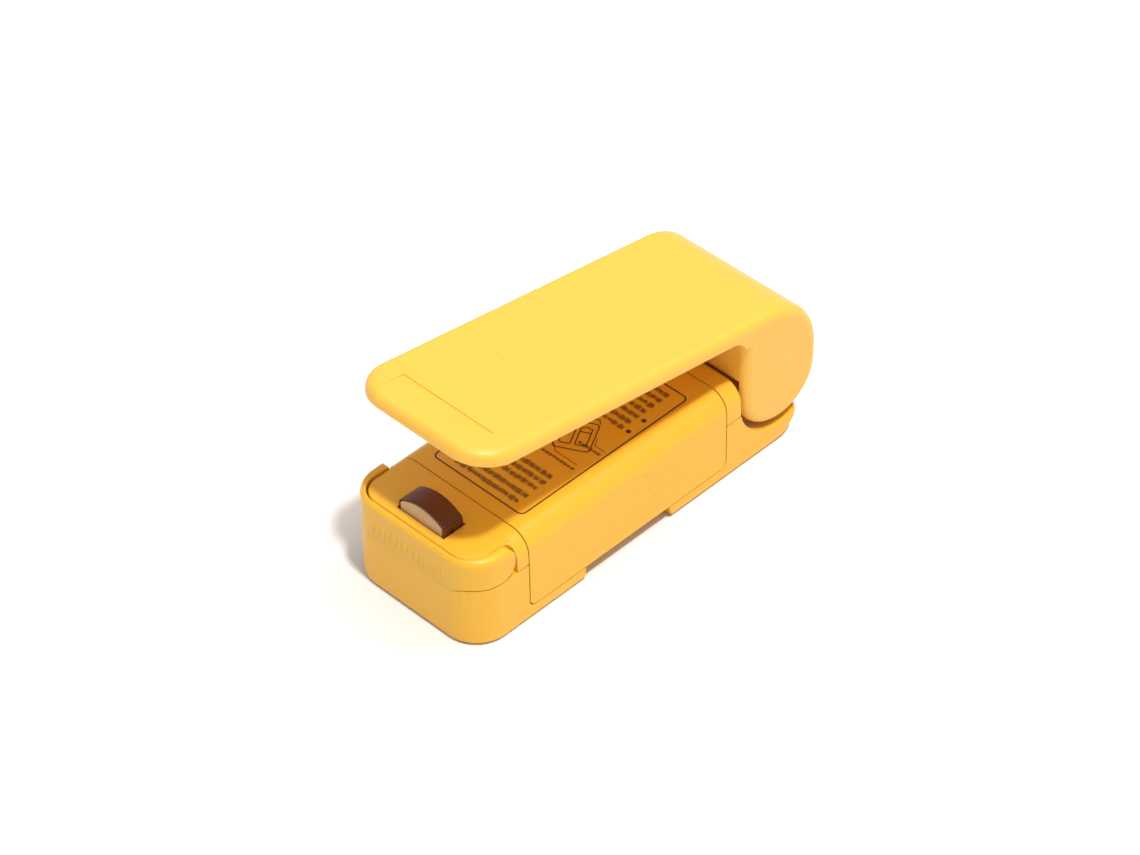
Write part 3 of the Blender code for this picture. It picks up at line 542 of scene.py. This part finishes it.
def shell_front(work, ring, y_back, y_front, shrink):
    """A low raised pad on a face that looks to -Y; ring is in (x, z)."""
    mx = sum(p[0] for p in ring) / len(ring)
    mz = sum(p[1] for p in ring) / len(ring)
    layers = []
    for share, inset in ((0.0, 0.0), (0.55, 0.03), (0.9, 0.12), (1.0, 1 - shrink)):
        y = y_back + (y_front - y_back) * share
        scale_x, scale_z = 1 - inset, 1 - inset * 0.35
        layers.append([work.verts.new(((mx + (x - mx) * scale_x) * MM, y * MM,
                                       (mz + (z - mz) * scale_z) * MM)) for x, z in ring])
    for low, high in zip(layers, layers[1:]):
        for index in range(len(ring)):
            after = (index + 1) % len(ring)
            work.faces.new((low[index], low[after], high[after], high[index]))
    work.faces.new(layers[-1])
    work.faces.new(list(reversed(layers[0])))


# ---- the tape over the heater -----------------------------------------------
def tape_path(apex):
    """Points (x, z, side) over the crown; side is 1 or -1 on the sides and 0 on top."""
    centre = apex - TAPE_RADIUS
    edge = acos(TAPE_HALF / TAPE_RADIUS)
    shoulder = centre + TAPE_RADIUS * sin(edge)
    drop = shoulder - TAPE_FOOT
    path = []
    for step in range(TAPE_SIDE_STEPS):
        path.append((TAPE_HALF + 0.05, TAPE_FOOT + drop * step / TAPE_SIDE_STEPS, 1))
    for step in range(TAPE_CROWN_STEPS + 1):
        angle = edge + (pi - 2 * edge) * step / TAPE_CROWN_STEPS
        path.append((TAPE_RADIUS * cos(angle), centre + TAPE_RADIUS * sin(angle), 0))
    for step in range(1, TAPE_SIDE_STEPS + 1):
        path.append((-TAPE_HALF - 0.05, shoulder - drop * step / TAPE_SIDE_STEPS, -1))
    return path


def heater_tape(look):
    """Woven tape over the crown, tucked down at both sides and flaring there."""
    low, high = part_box("heater_tape")
    front, rear = low[1] / MM, high[1] / MM
    work = bmesh.new()
    rows = []
    for x, z, side in tape_path(high[2] / MM - TAPE_INSET):
        flare = max(0.0, (TAPE_FLARE_TOP - z) / (TAPE_FLARE_TOP - TAPE_FOOT))
        row = []
        for column in range(TAPE_COLUMNS + 1):
            share = column / TAPE_COLUMNS
            y = front + (rear - front) * share
            wave = sin(share * 9.5 + 0.6) * 0.26 + sin(share * 21 + 1.4) * 0.10
            push = side * flare * (0.16 + wave)
            lift = 0.0 if side else 0.025 * sin(share * 7 + x * 0.9)
            fray = 0.05 * sin(x * 7.0 + z * 3.1) * (1 - min(1, 8 * min(share, 1 - share)))
            row.append(work.verts.new(((x + push) * MM, (y + fray) * MM, (z + lift) * MM)))
        rows.append(row)
    for first, second in zip(rows, rows[1:]):
        for column in range(TAPE_COLUMNS):
            work.faces.new((first[column], first[column + 1], second[column + 1], second[column]))
    obj = piece("tape_cloth", finished("tape_cloth", work, smooth=True), look, "heater")
    solid = obj.modifiers.new("thickness", "SOLIDIFY")
    solid.thickness = TAPE_THICK * MM
    solid.offset = 0
    smooth = obj.modifiers.new("smooth", "SUBSURF")
    smooth.levels = smooth.render_levels = 1
    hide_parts("heater_tape")


# ---- assigning the looks ----------------------------------------------------
def smooth_facets(obj):
    """Shades the facets of a round surface as one, and keeps its real edges."""
    weld = obj.modifiers.new("weld", "WELD")
    weld.merge_threshold = 0.000002
    split = obj.modifiers.new("split", "EDGE_SPLIT")
    split.split_angle = radians(28)
    split.use_edge_sharp = False
    normals = obj.modifiers.new("normals", "WEIGHTED_NORMAL")
    normals.weight = 50
    normals.keep_sharp = False


def dress(node, look):
    """Gives a CAD node its look in every material slot."""
    obj = NODES[node]
    smooth_facets(obj)
    if obj.data.materials:
        for index in range(len(obj.data.materials)):
            obj.data.materials[index] = look
    else:
        obj.data.materials.append(look)


def main():
    set_camera()
    set_light()
    make_floor()

    plastic = moulded_plastic("abs_body", BODY)
    for node in ("bottom_case", "upper_chassis", "safety_guard"):
        dress(node, plastic)
    dress("battery_cover", moulded_plastic("abs_cover", BODY,
          ((-23.2, 17.0, 1.3, 0.00004), (8.6, 17.0, 1.3, 0.00004))))
    dress("lever_arm", moulded_plastic("abs_lever", LEVER, ((38.4, 13.8, 2.4, 0.00005),)))
    dress("lever_liner", moulded_plastic("abs_liner", BODY))
    dress("anvil_pad", rubbery("silicone_pad", (0.42, 0.40, 0.37), 0.62))
    steel = metal("spring_steel", (0.46, 0.46, 0.47), 0.30)
    for node in ("hinge_pin", "lever_spring", "heater_spring_left", "heater_spring_right",
                 "case_screw_front_left", "case_screw_front_right",
                 "case_screw_rear_left", "case_screw_rear_right"):
        dress(node, steel)
    nickel = metal("nickel_plate", (0.66, 0.64, 0.60), 0.26, (0.3, 1.0, 0.3))
    for node in ("contact_plate_left", "contact_plate_right", "contact_bridge",
                 "contact_spring_front", "contact_spring_rear"):
        dress(node, nickel)
    dress("heater_ribbon", metal("nichrome", (0.60, 0.57, 0.53), 0.34, (0.2, 1.0, 1.0)))
    brass = metal("brass", (0.70, 0.47, 0.17), 0.30, (0.3, 1.0, 0.3), (0.30, 0.18, 0.08))
    dress("switch_blade", brass)
    dress("switch_contact", brass)
    dress("lead_wire_left", rubbery("lead_red", (0.42, 0.025, 0.02), 0.45))
    dress("lead_wire_right", rubbery("lead_black", (0.02, 0.02, 0.02), 0.45))
    dress("battery_cell_left", cell_skin("cell_skin_left", "battery_cell_left", -1))
    dress("battery_cell_right", cell_skin("cell_skin_right", "battery_cell_right", 1))
    dress("heater_block", heater_plastic("heater_plastic"))

    label_print(printed_ink("printed_ink"))
    guard_grip(plastic)
    heater_tape(woven_tape("woven_tape"))


main()
